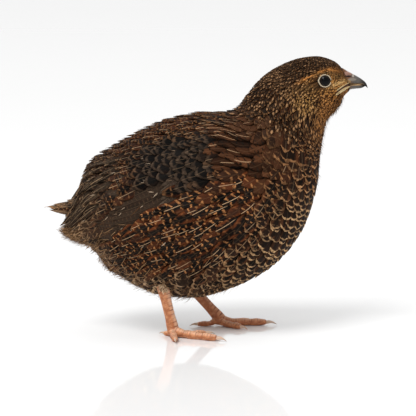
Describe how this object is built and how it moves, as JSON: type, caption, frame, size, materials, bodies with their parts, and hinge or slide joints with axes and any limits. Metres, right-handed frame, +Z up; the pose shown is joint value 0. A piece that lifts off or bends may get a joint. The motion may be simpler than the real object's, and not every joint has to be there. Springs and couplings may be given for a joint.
{
  "type": "coturnix quail",
  "caption": "Still, life-size dark brown coturnix quail standing in a walking stance, divided into head, neck, torso, folded wings, tail, legs, feet and claws.",
  "frame": {"origin": "centre of the bird's bounding box, on the floor that its feet stand on", "axes": "+X is the way the bird faces, towards its bill; +Y is its left side; +Z is up"},
  "size_m": [0.1739, 0.078, 0.1494],
  "materials": {
    "plumage": "dark brown body feathers with rusty bars and cream shafts",
    "crown": "short brown and buff head feathers",
    "horn": "grey-brown horn, satin",
    "eye": "black-brown, wet and glossy",
    "leg_skin": "pinkish orange scaly skin, satin",
    "claw": "pale horn, satin"
  },
  "bodies": {
    "root": {"torso": "plumage", "neck": "plumage", "head": "crown", "bill_upper": "horn", "bill_lower": "horn", "eye_left": "eye", "eye_right": "eye", "wing_left": "plumage", "wing_right": "plumage", "tail": "plumage", "thigh_left": "plumage", "thigh_right": "plumage", "shank_left": "leg_skin", "shank_right": "leg_skin", "foot_left": "leg_skin", "foot_right": "leg_skin", "claw_left_middle": "claw", "claw_left_inner": "claw", "claw_left_outer": "claw", "claw_left_hind": "claw", "claw_right_middle": "claw", "claw_right_inner": "claw", "claw_right_outer": "claw", "claw_right_hind": "claw"}
  },
  "joints": []
}
